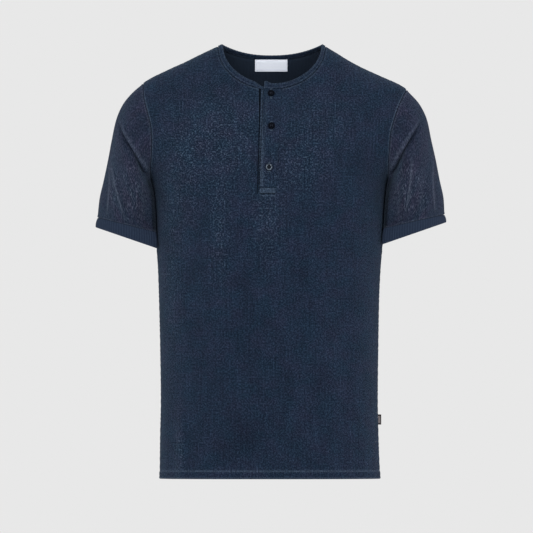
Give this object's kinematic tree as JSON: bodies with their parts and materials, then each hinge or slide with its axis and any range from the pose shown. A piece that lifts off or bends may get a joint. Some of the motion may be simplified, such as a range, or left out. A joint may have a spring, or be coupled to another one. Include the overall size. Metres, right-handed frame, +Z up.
{
  "type": "henley shirt",
  "caption": "Collarless short-sleeved shirt in navy towelling jersey, filled out as worn and hollow, with a buttoned placket, narrow neckband and ribbed cuffs.",
  "frame": {"origin": "midway between the two points where the shoulder seams meet the neckband seam, where the wearer's shoulders hold the shirt up", "axes": "+Z up, the front faces -Y, the wearer's left is +X"},
  "size_m": [0.5812, 0.2359, 0.7206],
  "materials": {
    "terry": "navy short-pile towelling jersey, crumbly, with a soft sheen",
    "rib": "navy ribbed knit, a little lighter and bluer than the body",
    "button": "dark navy resin, semi-gloss",
    "label": "pale woven satin, bare",
    "tag": "dark woven tape with a pale centre, bare"
  },
  "bodies": {
    "root": {"front": "terry", "back": "terry", "sleeve_right": "terry", "sleeve_left": "terry", "cuff_right": "rib", "cuff_left": "rib", "neckband": "terry", "placket_top": "terry", "placket_under": "terry", "button_1": "button", "button_2": "button", "button_3": "button", "neck_label": "label", "side_tag": "tag"}
  },
  "joints": []
}
